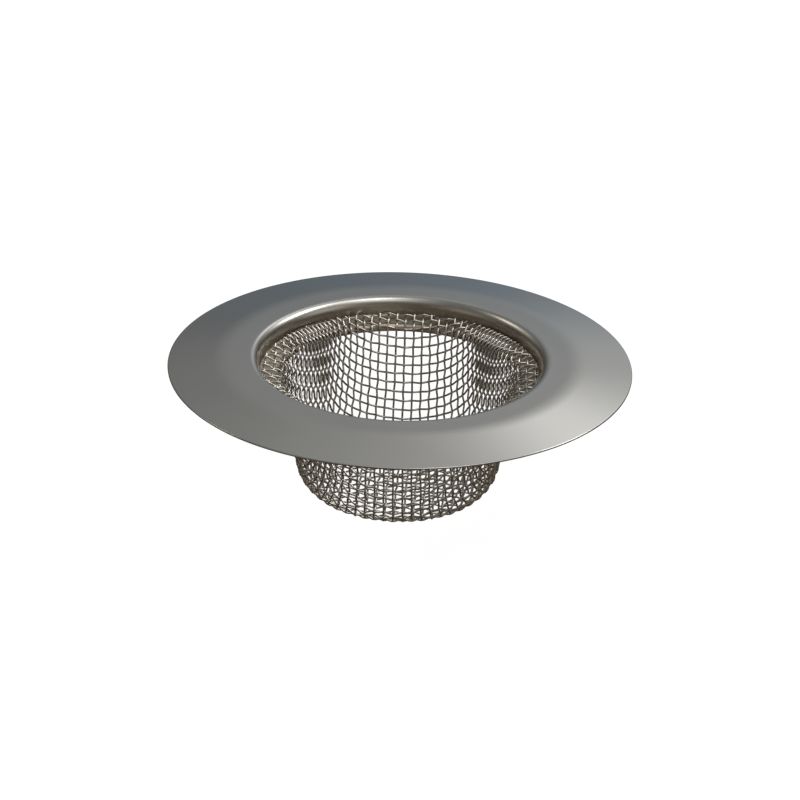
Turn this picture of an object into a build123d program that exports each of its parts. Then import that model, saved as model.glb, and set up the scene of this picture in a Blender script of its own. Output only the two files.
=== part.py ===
"""Kitchen sink basket strainer: a pressed steel rim with a deep-drawn cup of woven wire.

The cup is plain-woven cloth, so every wire is a solid of its own: warp wires run along Y,
weft wires run along X, and each passes over one crossing wire and under the next.

Frame: millimetres, +Z up along the axis, origin on the axis in the plane that the rim rests on.
"""

from build123d import *
from math import acos, atan2, cos, dist, hypot, pi, radians, sin, tan
import os

# ---------------------------------------------------------------- driving dimensions

# pressed rim, one sheet of constant thickness
sheet = 0.5
rim_radius = 57.0  # outer edge of the flange
rim_slope = 9.0  # degrees, the outer part of the flange rises towards the throat
crease_radius = 43.6  # where the slope eases off
crease_blend = 36.0
land_slope = 1.8  # degrees, the inner part of the flange
throat_radius = 34.6  # inside of the collar
throat_bend = 2.3  # radius of the polished bend into the throat
collar_foot = -1.75  # height of the corner below the collar
collar_foot_bend = 0.6
ledge_slope = 12.5  # degrees, the ledge falls towards the axis
lip_radius = 29.75  # inside of the turned-down lip
lip_bend = 1.45
lip_end = -4.0  # lowest edge of the rim
edge_round = 0.18

# wire cloth
wire = 0.50  # wire diameter
crossing_gap = 0.03  # air left between two wires where they cross
pitch = 2.345  # distance between neighbouring crossings along a wire

# drawn cup, all taken at the middle of the cloth
cup_floor = -33.0
cup_corner = 8.6  # radius between floor and wall
cup_taper = 10.8  # degrees from the axis
wall_top_radius = 29.1
wall_top = -3.5
shoulder_bend = 2.2
shoulder_slope = 15.0  # degrees, the cloth's edge lies over the ledge
cut_radius = 34.2  # where the cloth is cut off
stub = 0.35  # shortest wire end left standing past a crossing

# The cloth is laid over a wider former before the cup is drawn in to its final taper,
# so the wires slide a little and their crossings stay more open at the diagonals.
former_taper = 29.0
side_width_kept = 0.7  # how fully the squares in the middle of each side keep their width

# ---------------------------------------------------------------- cup profile

lean = radians(cup_taper)
flare = radians(shoulder_slope)

# arc lengths of the cloth's five stretches, from the pole to the cut edge
wall_length = (wall_top - cup_floor - cup_corner * (1 - sin(lean))) / cos(lean)
floor_length = wall_top_radius - wall_length * sin(lean) - cup_corner * cos(lean)
corner_length = cup_corner * (pi / 2 - lean)
shoulder_length = shoulder_bend * (pi / 2 - lean - flare)
edge_length = (cut_radius - wall_top_radius - shoulder_bend * (cos(lean) - sin(flare))) / cos(flare)
cloth_reach = floor_length + corner_length + wall_length + shoulder_length + edge_length


def cup_profile(taper):
    """The profile with its wall at this taper, as (arc length, slope at its start and end)."""
    wall = pi / 2 - radians(taper)
    return [
        (floor_length, 0, 0),
        (corner_length, 0, wall),
        (wall_length, wall, wall),
        (shoulder_length, wall, flare),
        (edge_length, flare, flare),
    ]


def along(profile, s):
    """Radius, height and direction (dr, dz) at arc length s from the pole."""
    r, z = 0.0, cup_floor
    for k, (length, start, end) in enumerate(profile):
        last = s <= length or k == len(profile) - 1
        run = s if last else length
        turned = (end - start) * run / length
        chord = run if turned == 0 else run * sin(turned / 2) / (turned / 2)
        r += chord * cos(start + turned / 2)
        z += chord * sin(start + turned / 2)
        if last:
            break
        s -= length
    return r, z, cos(start + turned), sin(start + turned)


def on_cup(profile, s, turn):
    """The point of the cup at arc length s and azimuth turn, in radians."""
    r, z, _, _ = along(profile, s)
    return r * cos(turn), r * sin(turn), z


cup = cup_profile(cup_taper)
former = cup_profile(former_taper)

# ---------------------------------------------------------------- crossings of the cloth


def next_crossing(a, b, opposite):
    """The point of the former one pitch from both a and b, on the far side from opposite."""
    near_a = on_cup(former, *a)
    near_b = on_cup(former, *b)
    behind = on_cup(former, *opposite)
    s = max(a[0], b[0]) + 0.6 * pitch
    turn = atan2(near_a[1] + near_b[1] - behind[1], near_a[0] + near_b[0] - behind[0])
    for _ in range(25):
        r, _, dr, dz = along(former, s)
        here = on_cup(former, s, turn)
        outward = (dr * cos(turn), dr * sin(turn), dz)
        around = (-r * sin(turn), r * cos(turn), 0)
        miss = []
        for corner in (near_a, near_b):
            away = [h - c for h, c in zip(here, corner)]
            miss.append(
                (
                    sum(k * k for k in away) - pitch**2,
                    2 * sum(k * o for k, o in zip(away, outward)),
                    2 * sum(k * o for k, o in zip(away, around)),
                )
            )
        (f, fs, ft), (g, gs, gt) = miss
        both = fs * gt - ft * gs
        step_s = (g * ft - f * gt) / both
        step_turn = (f * gs - g * fs) / both
        ease = min(1, 0.4 * pitch / (abs(step_s) + r * abs(step_turn) + 1e-12))
        s += ease * step_s
        turn += ease * step_turn
    return s, turn


def cloth_crossings(count):
    """Crossing (i, j) of one quarter of the cloth as (arc length from the pole, azimuth)."""
    net = {(0, 0): (0.0, pi / 4)}
    for i in range(1, count + 1):
        net[i, 0] = (i * pitch, 0.0)
        net[0, i] = (i * pitch, pi / 2)
    for i in range(1, count + 1):
        for j in range(1, i + 1):
            below = net[i, j - 1]
            beside = (below[0], pi / 2 - below[1]) if i == j else net[i - 1, j]
            net[i, j] = next_crossing(below, beside, net[i - 1, j - 1])
            net[j, i] = (net[i, j][0], pi / 2 - net[i, j][1])
    return net


def drawn_in(s, turn):
    """Where a crossing of the former ends up: the spare width goes mostly to the diagonals."""
    if s <= floor_length:
        return s, turn
    spare = along(former, s)[0] / along(cup, s)[0] - 1
    return s, turn + side_width_kept * spare * sin(4 * turn) / 4


wires_each_side = int(cloth_reach / pitch)
crossings = cloth_crossings(wires_each_side + 2)
crossings = {key: drawn_in(*place) for key, place in crossings.items()}

# ---------------------------------------------------------------- path of one wire

crown = wire / 2 + crossing_gap / 2  # how far a wire's middle stands off at a crossing
corner_cut = 0.045  # what a bend's arc takes off the zigzag's corner


def stand_off(s, turn, height):
    """The cup's point at (s, turn), moved out of the cloth's middle by height."""
    r, z, dr, dz = along(cup, s)
    return (r + height * dz) * cos(turn), (r + height * dz) * sin(turn), z - height * dr


def between(a, b, share):
    """The place partway from a to b, each given as (arc length, azimuth, height)."""
    x = (1 - share) * a[0] * cos(a[1]) + share * b[0] * cos(b[1])
    y = (1 - share) * a[0] * sin(a[1]) + share * b[0] * sin(b[1])
    return hypot(x, y), atan2(y, x), (1 - share) * a[2] + share * b[2]


def bends_between(a, b):
    """True where the cup's profile curves too sharply for a straight run between two crossings."""
    chord = [(p + q) / 2 for p, q in zip(on_cup(cup, *a[:2]), on_cup(cup, *b[:2]))]
    return dist(on_cup(cup, *between(a, b, 0.5)[:2]), chord) > 0.15


def half_wire(family, number):
    """A wire's path in the quarter x >= 0, y >= 0, from the middle of the cup to its cut end."""
    points = []
    before = None
    for k in range(wires_each_side + 2):
        s, turn = crossings[(number, k) if family == "warp" else (k, number)]
        side = 1 if (number + k) % 2 == 0 else -1
        height = (crown + corner_cut) * (side if family == "warp" else -side)
        here = (s, turn, height)
        if s > cloth_reach:
            share = (cloth_reach - before[0]) / (s - before[0])
            if share * pitch > stub:
                points.append(stand_off(*between(before, here, share)))
            break
        if before and bends_between(before, here):
            points.append(stand_off(*between(before, here, 0.5)))
        points.append(stand_off(*here))
        before = here
    return points


def bend_radii(points):
    """A radius for each corner of a zigzag, so that every arc takes off the same small height."""
    radii = []
    for a, b, c in zip(points, points[1:], points[2:]):
        into = [q - p for p, q in zip(a, b)]
        out = [q - p for p, q in zip(b, c)]
        lengths = hypot(*into), hypot(*out)
        half_turn = acos(min(1, sum(p * q for p, q in zip(into, out)) / lengths[0] / lengths[1])) / 2
        fits = 0.45 * min(lengths) / tan(half_turn)
        radii.append(min(fits, corner_cut / (1 / cos(half_turn) - 1)))
    return radii


def wire_path(family, number):
    """A whole wire's path, from cut end to cut end, on the side x >= 0 or y >= 0."""
    half = half_wire(family, number)
    if family == "warp":
        other = [(x, -y, z) for x, y, z in half]
    else:
        other = [(-x, y, z) for x, y, z in half]
    return other[:0:-1] + half


# ---------------------------------------------------------------- solids


def make_rim():
    """Flange, polished bend, collar, ledge and turned-down lip, pressed from one sheet."""
    crease = sheet / 2 + (rim_radius - crease_radius) * tan(radians(rim_slope))
    collar = throat_radius + sheet / 2
    bend = crease + (crease_radius - collar) * tan(radians(land_slope))
    lip = lip_radius + sheet / 2
    ledge = collar_foot - (collar - lip) * tan(radians(ledge_slope))
    with BuildPart() as rim:
        with BuildSketch(Plane.XZ) as section:
            with BuildLine():
                FilletPolyline(
                    (rim_radius, sheet / 2),
                    (crease_radius, crease),
                    (collar, bend),
                    (collar, collar_foot),
                    (lip, ledge),
                    (lip, lip_end),
                    radius=[
                        crease_blend,
                        throat_bend - sheet / 2,
                        collar_foot_bend,
                        lip_bend - sheet / 2,
                    ],
                )
            trace(line_width=sheet)
            ends = section.vertices().sort_by(Axis.X)[-2:] + section.vertices().sort_by(Axis.Y)[:2]
            fillet(ends, edge_round)
        revolve(axis=Axis.Z)
    return rim


def make_wires(family, number):
    """One wire through the middle of the cup, or the pair at the same distance on both sides."""
    points = wire_path(family, number)
    with BuildPart() as wires:
        with BuildLine() as run:
            FilletPolyline(*points, radius=bend_radii(points))
        path = run.wires()[0]
        with BuildSketch(Plane(origin=path @ 0, z_dir=path % 0)):
            Circle(wire / 2)
        sweep(path=path)
        if number > 0:
            mirror(about=Plane.YZ if family == "warp" else Plane.XZ)
    return wires


def keep(name, builder):
    """Names a finished piece and writes it out."""
    builder.part.label = name
    export_step(builder.part, f"parts/{name}.step")


if __name__ == "__main__":
    os.makedirs("parts", exist_ok=True)
    keep("rim_flange", make_rim())
    for family in ("warp", "weft"):
        for number in range(wires_each_side + 1):
            if len(half_wire(family, number)) < 2:
                continue
            name = f"{family}_wire_centre" if number == 0 else f"{family}_wire_pair_{number:02d}"
            keep(name, make_wires(family, number))
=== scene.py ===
"""Looks of the sink basket strainer: a pressed steel rim and a cup of woven wire.

Every wire of the cloth is a round tube of its own, woven over and under its neighbours, with the
small unevenness of real cloth. Metres, +Z up, in the CAD model's own frame.
"""

from math import atan2, cos, pi, radians, sin, tan

import bpy
import numpy as np
from mathutils import Matrix, Vector, noise


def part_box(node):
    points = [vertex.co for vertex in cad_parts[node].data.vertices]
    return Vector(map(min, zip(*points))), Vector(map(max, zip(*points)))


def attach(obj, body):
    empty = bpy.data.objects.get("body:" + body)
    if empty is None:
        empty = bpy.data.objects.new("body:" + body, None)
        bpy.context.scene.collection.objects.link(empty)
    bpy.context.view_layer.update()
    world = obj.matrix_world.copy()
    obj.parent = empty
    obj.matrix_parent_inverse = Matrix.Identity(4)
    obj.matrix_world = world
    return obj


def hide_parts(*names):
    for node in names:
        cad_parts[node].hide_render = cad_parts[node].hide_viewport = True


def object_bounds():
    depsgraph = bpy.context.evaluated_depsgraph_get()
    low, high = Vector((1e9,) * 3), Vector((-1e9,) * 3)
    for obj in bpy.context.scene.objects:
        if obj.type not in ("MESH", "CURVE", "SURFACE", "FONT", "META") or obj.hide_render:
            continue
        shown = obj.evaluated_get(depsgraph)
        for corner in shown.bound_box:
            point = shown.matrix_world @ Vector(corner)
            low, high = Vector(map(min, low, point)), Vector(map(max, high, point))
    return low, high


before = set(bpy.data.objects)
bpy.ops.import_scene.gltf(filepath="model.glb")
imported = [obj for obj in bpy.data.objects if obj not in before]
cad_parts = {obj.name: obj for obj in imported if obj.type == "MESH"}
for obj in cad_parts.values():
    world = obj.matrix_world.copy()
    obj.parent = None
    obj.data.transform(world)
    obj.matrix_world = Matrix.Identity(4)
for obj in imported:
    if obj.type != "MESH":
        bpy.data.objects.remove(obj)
cad_low, cad_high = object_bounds()
mm = 0.001

# ---------------------------------------------------------------- sizes, as in the CAD model

rim_low, rim_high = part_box("rim_flange")
rim_radius = rim_high.x
sheet = 0.5 * mm
rim_slope = radians(9)
crease_radius = 43.6 * mm
crease_blend = 36 * mm
land_slope = radians(1.8)
throat_radius = 34.6 * mm
throat_bend = 2.3 * mm
collar_foot = -1.75 * mm
collar_foot_bend = 0.6 * mm
ledge_slope = radians(12.5)
lip_radius = 29.75 * mm
lip_bend = 1.45 * mm
edge_round = 0.18 * mm

wire = 0.50 * mm
crossing_gap = 0.03 * mm
pitch = 2.345 * mm

cup_floor = -33 * mm
cup_corner = 8.6 * mm
cup_taper = radians(10.8)
wall_top_radius = 29.1 * mm
wall_top = -3.5 * mm
shoulder_bend = 2.2 * mm
shoulder_slope = radians(15)
cut_radius = 34.2 * mm
former_taper = radians(29)
side_width_kept = 0.7

# ---------------------------------------------------------------- node helpers


def new_material(name):
    """An empty material and its node tree, with a Principled shader on its output."""
    material = bpy.data.materials.new(name)
    material.use_nodes = True
    tree = material.node_tree
    tree.nodes.clear()
    output = tree.nodes.new("ShaderNodeOutputMaterial")
    shader = tree.nodes.new("ShaderNodeBsdfPrincipled")
    tree.links.new(shader.outputs["BSDF"], output.inputs["Surface"])
    return material, tree, shader


def feed(tree, socket, value):
    """Links a socket to another node's output, or sets it to a plain value."""
    if isinstance(value, bpy.types.NodeSocket):
        tree.links.new(value, socket)
    else:
        socket.default_value = value


def maths(tree, operation, *values):
    """The output of a Math node on these values."""
    node = tree.nodes.new("ShaderNodeMath")
    node.operation = operation
    for socket, value in zip(node.inputs, values):
        feed(tree, socket, value)
    return node.outputs[0]


def remap(tree, value, start, end, low, high):
    """Maps value from start..end smoothly onto low..high, held at both ends."""
    node = tree.nodes.new("ShaderNodeMapRange")
    node.interpolation_type = "SMOOTHSTEP"
    for socket, entry in zip(node.inputs, (value, start, end, low, high)):
        feed(tree, socket, entry)
    return node.outputs[0]


def speckle(tree, vector, scale, detail=2.0):
    """A noise from 0 to 1 over this vector."""
    node = tree.nodes.new("ShaderNodeTexNoise")
    feed(tree, node.inputs["Vector"], vector)
    node.inputs["Scale"].default_value = scale
    node.inputs["Detail"].default_value = detail
    return node.outputs["Fac"]


def blend_colours(tree, share, first, second):
    """A colour between two colours."""
    node = tree.nodes.new("ShaderNodeMix")
    node.data_type = "RGBA"
    feed(tree, node.inputs["Factor"], share)
    feed(tree, node.inputs["A"], first)
    feed(tree, node.inputs["B"], second)
    return node.outputs["Result"]


# ---------------------------------------------------------------- materials


def rim_steel():
    """Satin flange, polished bend and throat, and a bright cut edge, with painted shade on the throat and
    ledge below the bend.
    """
    material, tree, shader = new_material("rim_satin_steel")
    place = tree.nodes.new("ShaderNodeTexCoord").outputs["Object"]
    axes = tree.nodes.new("ShaderNodeSeparateXYZ")
    feed(tree, axes.inputs[0], place)
    x, y, _ = axes.outputs
    x_squared = maths(tree, "MULTIPLY", x, x)
    radius = maths(tree, "SQRT", maths(tree, "MULTIPLY_ADD", y, y, x_squared))
    turn = maths(tree, "ARCTAN2", y, x)

    satin = remap(tree, radius, 37.2 * mm, 39.5 * mm, 0, 1)
    cut_edge = remap(tree, radius, rim_radius - 0.25 * mm, rim_radius - 0.05 * mm, 0, 1)

    # noise that is drawn out around the axis, as lapping leaves it, and a grain the same all ways
    rings = tree.nodes.new("ShaderNodeCombineXYZ")
    feed(tree, rings.inputs[0], maths(tree, "MULTIPLY", radius, 5200.0))
    feed(tree, rings.inputs[1], maths(tree, "MULTIPLY", turn, 9.0))
    lapping = speckle(tree, rings.outputs[0], 1.0, 4.0)
    grain = speckle(tree, place, 5200.0, 3.0)
    cloud = speckle(tree, place, 55.0, 3.0)
    smudge_and_shade_mottle = speckle(tree, place, 260.0, 4.0)

    tone = blend_colours(tree, cloud, (0.575, 0.575, 0.57, 1), (0.635, 0.635, 0.625, 1))
    # painted shade: below the bend the throat and ledge are coloured darker and warmer, the way the shade
    # in that recess looks, mottled by the smudge noise; the same noise also varies the polished roughness
    throat_painted_shade = blend_colours(tree, smudge_and_shade_mottle, (0.38, 0.33, 0.26, 1), (0.52, 0.47, 0.39, 1))
    below_bend = remap(tree, radius, 33.6 * mm, 36.4 * mm, 0, 1)
    feed(tree, shader.inputs["Base Color"], blend_colours(tree, below_bend, throat_painted_shade, tone))
    shader.inputs["Metallic"].default_value = 1.0
    shader.inputs["Specular IOR Level"].default_value = 0.5

    fine = maths(tree, "MULTIPLY", maths(tree, "ADD", lapping, grain), 0.03)
    satin_rough = maths(tree, "ADD", maths(tree, "MULTIPLY_ADD", cloud, 0.03, 0.165), fine)
    polished_rough = maths(tree, "MULTIPLY_ADD", smudge_and_shade_mottle, 0.06, remap(tree, below_bend, 0, 1, 0.28, 0.20))
    both = tree.nodes.new("ShaderNodeMix")
    feed(tree, both.inputs["Factor"], satin)
    feed(tree, both.inputs["A"], polished_rough)
    feed(tree, both.inputs["B"], satin_rough)
    edge = tree.nodes.new("ShaderNodeMix")
    feed(tree, edge.inputs["Factor"], cut_edge)
    feed(tree, edge.inputs["A"], both.outputs["Result"])
    edge.inputs["B"].default_value = 0.16
    feed(tree, shader.inputs["Roughness"], edge.outputs["Result"])

    bump = tree.nodes.new("ShaderNodeBump")
    bump.inputs["Distance"].default_value = 0.002 * mm
    feed(tree, bump.inputs["Strength"], remap(tree, satin, 0, 1, 0.05, 0.14))
    feed(tree, bump.inputs["Height"], maths(tree, "ADD", lapping, grain))
    feed(tree, shader.inputs["Normal"], bump.outputs["Normal"])
    return material


def wire_steel():
    """Bright drawn wire, a little dull and warm where forming has rubbed it."""
    material, tree, shader = new_material("wire_drawn_steel")
    coordinates = tree.nodes.new("ShaderNodeTexCoord")
    place = coordinates.outputs["Object"]
    along = tree.nodes.new("ShaderNodeMapping")
    feed(tree, along.inputs["Vector"], coordinates.outputs["UV"])
    along.inputs["Scale"].default_value = (40, 0.6, 1)
    drawn = speckle(tree, along.outputs["Vector"], 1.0, 3.0)
    patch = speckle(tree, place, 420.0, 3.0)
    tint = speckle(tree, place, 90.0, 2.0)

    tone = blend_colours(tree, tint, (0.57, 0.54, 0.49, 1), (0.66, 0.65, 0.63, 1))
    feed(tree, shader.inputs["Base Color"], tone)
    shader.inputs["Metallic"].default_value = 1.0
    rubbed = maths(tree, "MULTIPLY_ADD", patch, 0.12, 0.06)
    feed(tree, shader.inputs["Roughness"], maths(tree, "MULTIPLY_ADD", drawn, 0.06, rubbed))
    bump = tree.nodes.new("ShaderNodeBump")
    bump.inputs["Distance"].default_value = 0.004 * mm
    bump.inputs["Strength"].default_value = 0.3
    feed(tree, bump.inputs["Height"], drawn)
    feed(tree, shader.inputs["Normal"], bump.outputs["Normal"])
    return material


def floor_paper():
    """Pale, even studio floor that still takes a faint shadow."""
    material, tree, shader = new_material("studio_floor")
    place = tree.nodes.new("ShaderNodeTexCoord").outputs["Object"]
    fibre = speckle(tree, place, 400.0, 4.0)
    tone = blend_colours(tree, fibre, (0.11, 0.11, 0.11, 1), (0.13, 0.13, 0.13, 1))
    feed(tree, shader.inputs["Base Color"], tone)
    shader.inputs["Roughness"].default_value = 0.9
    shader.inputs["Emission Color"].default_value = (1, 1, 1, 1)
    shader.inputs["Emission Strength"].default_value = 0.97
    return material


# ---------------------------------------------------------------- rim


def rounded(corners, radii, step):
    """Follows straight runs joined by tangent arcs. Gives points and unit directions."""
    corners = [Vector(c) for c in corners]
    points, directions = [], []
    start = corners[0]
    for k in range(1, len(corners)):
        heading = (corners[k] - corners[k - 1]).normalized()
        if k == len(corners) - 1:
            end = corners[k]
        else:
            onward = (corners[k + 1] - corners[k]).normalized()
            turn = heading.angle_signed(onward)
            end = corners[k] - heading * radii[k - 1] * tan(abs(turn) / 2)
        pieces = max(1, round((end - start).length / step))
        for j in range(pieces + 1):
            points.append(start.lerp(end, j / pieces))
            directions.append(heading)
        if k < len(corners) - 1:
            side = 1 if turn > 0 else -1
            pieces = max(6, round(abs(turn) * radii[k - 1] / step), round(abs(turn) / radians(6)))
            across = Vector((heading.y, -heading.x)) * side
            centre = end + across * radii[k - 1]
            for j in range(1, pieces):
                bent = Matrix.Rotation(-turn * j / pieces, 2)
                points.append(centre - bent @ across * radii[k - 1])
                directions.append(bent @ heading)
            start = centre - Matrix.Rotation(-turn, 2) @ across * radii[k - 1]
    return points, directions


def sheet_outline():
    """The closed outline of the rim's section, as (radius, height) points."""
    crease = sheet / 2 + (rim_radius - crease_radius) * tan(rim_slope)
    collar = throat_radius + sheet / 2
    bend = crease + (crease_radius - collar) * tan(land_slope)
    lip = lip_radius + sheet / 2
    ledge = collar_foot - (collar - lip) * tan(ledge_slope)
    middle, directions = rounded(
        [
            (rim_radius, sheet / 2),
            (crease_radius, crease),
            (collar, bend),
            (collar, collar_foot),
            (lip, ledge),
            (lip, rim_low.z),
        ],
        [crease_blend, throat_bend - sheet / 2, collar_foot_bend, lip_bend - sheet / 2],
        0.45 * mm,
    )
    outer_end, inner_end = end_cap(middle[0], -directions[0]), end_cap(middle[-1], directions[-1])
    top = [p + Vector((-d.y, d.x)) * -sheet / 2 for p, d in zip(middle, directions)]
    under = [p + Vector((-d.y, d.x)) * sheet / 2 for p, d in zip(middle, directions)]
    keep_top = [p for p in top if clear_of_ends(p, middle)]
    keep_under = [p for p in under if clear_of_ends(p, middle)]
    return keep_top + inner_end + keep_under[::-1] + outer_end


def clear_of_ends(p, middle):
    """True unless the point lies where an end's rounded edge begins."""
    near = sheet / 2 + 0.01 * mm + edge_round
    return (p - middle[0]).length > near and (p - middle[-1]).length > near


def end_cap(end, outward):
    """The rounded edge of the sheet where it ends, from one face to the other."""
    side = Vector((-outward.y, outward.x))
    flat = sheet / 2 - edge_round
    cap = []
    for face in (-1, 1):
        for j in range(5):
            a = radians(90 * (j / 4 if face < 0 else 1 - j / 4))
            in_from_end = edge_round * (sin(a) - 1)
            off_middle = face * (flat + edge_round * cos(a))
            cap.append(end + outward * in_from_end + side * off_middle)
    return cap


def make_rim(material):
    """The pressed sheet, turned about the axis, with the slight waviness of real pressings."""
    outline = sheet_outline()
    around = 480
    waviness, waves_per_metre = 0.05 * mm, 28
    vertices, faces = [], []
    for k in range(around):
        turn = 2 * pi * k / around
        for p in outline:
            heading = Vector((cos(turn), sin(turn), 0))
            spot = heading * p.x + Vector((0, 0, p.y))
            wave = noise.noise(spot * waves_per_metre) * waviness * (p.x / rim_radius) ** 2
            vertices.append(spot + Vector((0, 0, wave)))
    count = len(outline)
    for k in range(around):
        here, there = k * count, (k + 1) % around * count
        for j in range(count):
            beside = (j + 1) % count
            faces.append((here + j, here + beside, there + beside, there + j))
    mesh = bpy.data.meshes.new("pressed_rim")
    mesh.from_pydata(vertices, [], faces)
    finish_mesh(mesh, material)
    rim = bpy.data.objects.new("pressed_rim", mesh)
    bpy.context.scene.collection.objects.link(rim)
    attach(rim, "root")
    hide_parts("rim_flange")


def finish_mesh(mesh, material):
    """Smooth shading and a material."""
    mesh.materials.append(material)
    mesh.shade_smooth()
    mesh.update()


# ---------------------------------------------------------------- the cup's mid-surface

wall_length = (wall_top - cup_floor - cup_corner * (1 - sin(cup_taper))) / cos(cup_taper)
floor_length = wall_top_radius - wall_length * sin(cup_taper) - cup_corner * cos(cup_taper)
corner_length = cup_corner * (pi / 2 - cup_taper)
shoulder_length = shoulder_bend * (pi / 2 - cup_taper - shoulder_slope)
shoulder_reach = shoulder_bend * (cos(cup_taper) - sin(shoulder_slope))
edge_length = (cut_radius - wall_top_radius - shoulder_reach) / cos(shoulder_slope)
cloth_reach = floor_length + corner_length + wall_length + shoulder_length + edge_length


def cup_profile(taper):
    """The profile with its wall at this taper, as (arc length, slope at its start and end)."""
    wall = pi / 2 - taper
    return [
        (floor_length, 0, 0),
        (corner_length, 0, wall),
        (wall_length, wall, wall),
        (shoulder_length, wall, shoulder_slope),
        (edge_length, shoulder_slope, shoulder_slope),
    ]


def along(profile, s):
    """Radius, height and direction (dr, dz) at arc length s from the pole."""
    r, z = 0.0, cup_floor
    for k, (length, start, end) in enumerate(profile):
        last = s <= length or k == len(profile) - 1
        run = s if last else length
        turned = (end - start) * run / length
        chord = run if turned == 0 else run * sin(turned / 2) / (turned / 2)
        r += chord * cos(start + turned / 2)
        z += chord * sin(start + turned / 2)
        if last:
            break
        s -= length
    return r, z, cos(start + turned), sin(start + turned)


cup = cup_profile(cup_taper)
former = cup_profile(former_taper)

# ---------------------------------------------------------------- crossings of the cloth


def on_former(s, turn):
    """The point of the former at arc length s and azimuth turn."""
    r, z, _, _ = along(former, s)
    return Vector((r * cos(turn), r * sin(turn), z))


def next_crossing(a, b, opposite):
    """The point of the former one pitch from both a and b, on the far side from opposite."""
    near = on_former(*a), on_former(*b)
    guess = near[0] + near[1] - on_former(*opposite)
    s, turn = max(a[0], b[0]) + 0.6 * pitch, atan2(guess.y, guess.x)
    for _ in range(25):
        r, _, dr, dz = along(former, s)
        outward = Vector((dr * cos(turn), dr * sin(turn), dz))
        around = Vector((-r * sin(turn), r * cos(turn), 0))
        away = [on_former(s, turn) - point for point in near]
        slopes = Matrix([(2 * w.dot(outward), 2 * w.dot(around)) for w in away])
        miss = Vector([w.length_squared - pitch**2 for w in away])
        step = slopes.inverted() @ miss
        ease = min(1, 0.4 * pitch / (abs(step.x) + r * abs(step.y) + 1e-12))
        s -= ease * step.x
        turn -= ease * step.y
    return s, turn


def cloth_crossings(count):
    """Crossing (i, j) of one quarter of the cloth as (arc length from the pole, azimuth)."""
    net = {(0, 0): (0.0, pi / 4)}
    for i in range(1, count + 1):
        net[i, 0] = (i * pitch, 0.0)
        net[0, i] = (i * pitch, pi / 2)
    for i in range(1, count + 1):
        for j in range(1, i + 1):
            below = net[i, j - 1]
            beside = (below[0], pi / 2 - below[1]) if i == j else net[i - 1, j]
            net[i, j] = next_crossing(below, beside, net[i - 1, j - 1])
            net[j, i] = (net[i, j][0], pi / 2 - net[i, j][1])
    return net


def drawn_in(s, turn):
    """Where a crossing of the former ends up: the spare width goes mostly to the diagonals."""
    if s <= floor_length:
        return s, turn
    spare = along(former, s)[0] / along(cup, s)[0] - 1
    return s, turn + side_width_kept * spare * sin(4 * turn) / 4


wires_each_side = int(cloth_reach / pitch)
span = wires_each_side + 2
smooth_drift = 0.16 * mm  # how far whole areas of the cloth have slid
drift_scale = 130  # noise waves per metre
crossing_jitter = 0.05 * mm  # how far single crossings are off
dice = np.random.default_rng(11)
noise.seed_set(11)  # or noise_vector would follow the clock


def spread_cloth():
    """Every crossing of the whole cloth, rolled out flat: its arc length along its azimuth."""
    net = {key: drawn_in(*place) for key, place in cloth_crossings(span).items()}
    flat = np.zeros((2 * span + 1, 2 * span + 1, 2))
    for i in range(-span, span + 1):
        for j in range(-span, span + 1):
            s, turn = net[abs(i), abs(j)]
            spot = np.array((s * cos(turn) * (1 if i >= 0 else -1), s * sin(turn) * (1 if j >= 0 else -1)))
            drift = noise.noise_vector(Vector((spot[0], spot[1], 0.02)) * drift_scale)
            flat[i + span, j + span] = spot + np.array(drift[:2]) * smooth_drift
    return flat + dice.normal(0, crossing_jitter, flat.shape)


# ---------------------------------------------------------------- wires

crown = wire / 2 + crossing_gap / 2  # how far a wire's middle stands off at a crossing
steps = 8  # points along a wire from one crossing to the next
sides = 10  # of a wire's round section


def wire_line(row, first_side):
    """A wire's middle line over a row of crossings: points on the cup, off its middle by the crimp."""
    knots = np.vstack([2 * row[0] - row[1], row, 2 * row[-1] - row[-2]])
    points = []
    limit = cloth_reach + dice.uniform(-0.15, 0.1) * mm  # no two wires are cut quite alike
    for k in range(1, len(knots) - 2):
        a, b, c, d = knots[k - 1 : k + 3]
        side = first_side if k % 2 == 1 else -first_side
        for j in range(steps):
            t = j / steps
            curved = (2 * a - 5 * b + 4 * c - d) * t**2 + (3 * b - a - 3 * c + d) * t**3
            spot = b + ((c - a) * t + curved) / 2
            s = float(np.hypot(*spot))
            if s > limit:
                continue
            turn = atan2(spot[1], spot[0])
            height = side * crown * cos(pi * t)
            r, z, dr, dz = along(cup, s)
            points.append(((r + height * dz) * cos(turn), (r + height * dz) * sin(turn), z - height * dr))
    return np.array(points)


def tube(points):
    """A round wire along these points: vertices, faces and (around, along) for each face corner."""
    ahead = np.gradient(points, axis=0)
    ahead /= np.linalg.norm(ahead, axis=1, keepdims=True)
    length = np.concatenate([[0], np.cumsum(np.linalg.norm(np.diff(points, axis=0), axis=1))])
    across = np.cross(ahead[0], (0.3, 0.5, 0.8))
    vertices, faces, marks = [], [], []
    for k, point in enumerate(points):
        across -= ahead[k] * (across @ ahead[k])
        across /= np.linalg.norm(across)
        third = np.cross(ahead[k], across)
        for j in range(sides):
            a = 2 * pi * j / sides
            vertices.append(point + (across * cos(a) + third * sin(a)) * wire / 2)
    for k in range(len(points) - 1):
        for j in range(sides):
            n = (j + 1) % sides
            faces.append((k * sides + j, k * sides + n, (k + 1) * sides + n, (k + 1) * sides + j))
            low, high = length[k] / mm, length[k + 1] / mm
            marks += [(j / sides, low), ((j + 1) / sides, low), ((j + 1) / sides, high), (j / sides, high)]
    last = (len(points) - 1) * sides
    faces += [tuple(range(sides - 1, -1, -1)), tuple(range(last, last + sides))]
    marks += [(0, 0)] * (2 * sides)
    return vertices, faces, marks


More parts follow.
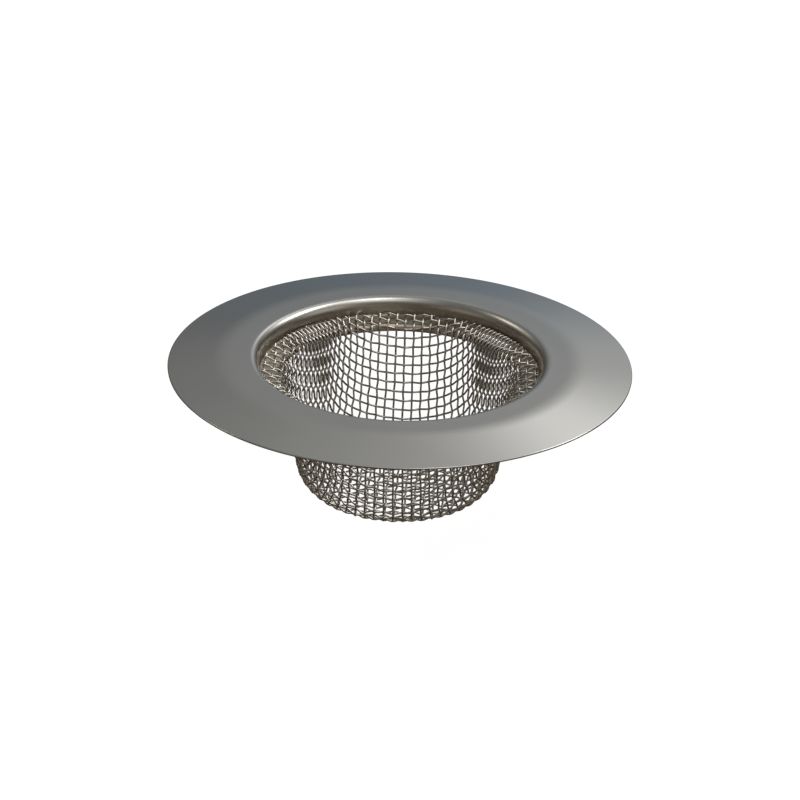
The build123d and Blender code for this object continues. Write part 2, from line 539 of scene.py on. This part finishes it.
def make_wires(family, number, cloth, material):
    """One wire through the middle, or the pair at the same distance on both sides of it."""
    vertices, faces, marks = [], [], []
    for place in sorted({number, -number}):
        row = cloth[place + span] if family == "warp" else cloth[:, place + span]
        side = 1 if (place + span) % 2 == 0 else -1
        more, quads, corners = tube(wire_line(row, side if family == "warp" else -side))
        faces += [tuple(v + len(vertices) for v in quad) for quad in quads]
        vertices += more
        marks += corners
    node = f"{family}_wire_centre" if number == 0 else f"{family}_wire_pair_{number:02d}"
    mesh = bpy.data.meshes.new(node.replace("wire", "woven"))
    mesh.from_pydata(vertices, [], faces)
    layer = mesh.uv_layers.new(name="wire")
    layer.data.foreach_set("uv", np.array(marks, np.float32).ravel())
    finish_mesh(mesh, material)
    woven = bpy.data.objects.new(mesh.name, mesh)
    bpy.context.scene.collection.objects.link(woven)
    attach(woven, "root")
    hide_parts(node)


# ---------------------------------------------------------------- studio


def make_floor():
    """A wide pale floor under the cup."""
    reach = 60 * rim_radius
    mesh = bpy.data.meshes.new("studio_floor")
    corners = [(-reach, -reach, 0), (reach, -reach, 0), (reach, reach, 0), (-reach, reach, 0)]
    mesh.from_pydata(corners, [], [(0, 1, 2, 3)])
    mesh.materials.append(floor_paper())
    floor = bpy.data.objects.new("studio_floor", mesh)
    floor.location.z = cad_low.z
    floor.visible_glossy = False
    bpy.context.scene.collection.objects.link(floor)


def soft_box(name, azimuth, elevation, distance, width, height, radiance, colour):
    """A soft light in this direction, facing the strainer. Azimuth 0 is behind it and 90 to its right."""
    light = bpy.data.lights.new(name, "AREA")
    light.shape = "RECTANGLE"
    light.size, light.size_y = width, height
    light.energy = radiance * pi * width * height
    light.color = colour
    lamp = bpy.data.objects.new(name, light)
    a, e = radians(azimuth), radians(elevation)
    toward = Vector((sin(a) * cos(e), cos(a) * cos(e), sin(e)))
    lamp.location = toward * distance
    lamp.rotation_mode = "QUATERNION"
    lamp.rotation_quaternion = toward.to_track_quat("Z", "Y")
    bpy.context.scene.collection.objects.link(lamp)


def make_lights():
    """Three small soft boxes, which give the wires and the polished bend their sparkle."""
    soft_box("key_box", 54, 49, 1.2, 0.36, 0.36, 4.5, (1, 0.97, 0.92))
    soft_box("top_box", 75, 80, 1.2, 0.20, 0.20, 3.0, (1, 0.98, 0.94))
    soft_box("left_box", -68, 42, 1.2, 0.25, 0.3, 1.5, (1, 0.92, 0.82))


def glow(tree, direction, azimuth, elevation, spread, radiance, colour):
    """A soft light far away that fades over this angle. Azimuth 0 is behind and 90 to the right."""
    a, e = radians(azimuth), radians(elevation)
    middle = (sin(a) * cos(e), cos(a) * cos(e), sin(e))
    facing = tree.nodes.new("ShaderNodeVectorMath")
    facing.operation = "DOT_PRODUCT"
    feed(tree, facing.inputs[0], direction)
    facing.inputs[1].default_value = middle
    falloff = 1 / (1 - cos(radians(spread)))
    nearness = maths(tree, "MULTIPLY_ADD", facing.outputs["Value"], falloff, -falloff)
    light = tree.nodes.new("ShaderNodeVectorMath")
    light.operation = "SCALE"
    light.inputs[0].default_value = [radiance * part for part in colour]
    feed(tree, light.inputs["Scale"], maths(tree, "EXPONENT", nearness))
    return light.outputs[0]


def add_colours(tree, first, second):
    """The sum of two lights' colours."""
    node = tree.nodes.new("ShaderNodeVectorMath")
    node.operation = "ADD"
    feed(tree, node.inputs[0], first)
    feed(tree, node.inputs[1], second)
    return node.outputs[0]


def make_surroundings():
    """A dark, warm room with soft lights behind, above and on both sides of the strainer."""
    world = bpy.data.worlds.new("studio")
    bpy.context.scene.world = world
    world.use_nodes = True
    tree = world.node_tree
    direction = tree.nodes.new("ShaderNodeTexCoord").outputs["Generated"]
    axes = tree.nodes.new("ShaderNodeSeparateXYZ")
    feed(tree, axes.inputs[0], direction)
    height = axes.outputs[2]
    warm, cool, white = (1, 0.90, 0.76), (0.60, 1.0, 1.4), (1, 0.985, 0.95)
    light = blend_colours(
        tree,
        remap(tree, height, 0.0, 0.6, 0, 1),
        (0.068, 0.054, 0.036, 1),
        (0.16, 0.16, 0.155, 1),
    )
    # each light's azimuth, elevation and spread in degrees, its radiance and its colour
    for lamp in (
        (15, 37, 8, 1.3, white),
        (12, 18, 9, 0.38, white),
        (-8, 26, 9, 0.12, white),
        (-4, 46, 13, 0.22, white),
        (2, 4, 17, 0.13, cool),
        (56, 50, 15, 2.0, white),
        (66, 78, 14, 1.4, white),
        (143, 66, 14, 1.2, white),
        (112, 22, 20, 0.6, white),
        (-64, 38, 14, 0.6, warm),
        (180, 62, 16, 0.30, warm),
        (155, -6, 20, 0.40, warm),
        (-130, 8, 18, 0.35, warm),
    ):
        light = add_colours(tree, light, glow(tree, direction, *lamp))
    background = tree.nodes["Background"]
    feed(tree, background.inputs["Color"], light)
    background.inputs["Strength"].default_value = 1.0


def make_camera():
    """From the front, looking down on the rim, a little to the right and slightly rolled."""
    distance = 16 * rim_radius
    turn, elevation, roll = radians(2.1), radians(24.91), radians(1.4755)
    centre = Vector((0, 0, sheet))
    back = Vector((sin(turn) * cos(elevation), -cos(turn) * cos(elevation), sin(elevation)))
    right = Vector((cos(turn), sin(turn), 0))
    up = back.cross(right)
    aim = centre + right * 0.22 * mm - up * 8.665 * mm
    data = bpy.data.cameras.new("camera")
    data.lens, data.sensor_width = 167.1, 36
    camera = bpy.data.objects.new("camera", data)
    camera.location = centre + back * distance
    camera.rotation_mode = "QUATERNION"
    looking = (camera.location - aim).to_track_quat("Z", "Y")
    camera.rotation_quaternion = looking @ Matrix.Rotation(roll, 3, "Z").to_quaternion()
    bpy.context.scene.collection.objects.link(camera)
    bpy.context.scene.camera = camera


# ---------------------------------------------------------------- build

make_rim(rim_steel())
drawn_wire = wire_steel()
cloth = spread_cloth()
for family in ("warp", "weft"):
    for number in range(wires_each_side + 1):
        make_wires(family, number, cloth, drawn_wire)
make_floor()
make_surroundings()
make_lights()
make_camera()
bpy.context.scene.view_settings.view_transform = "Standard"
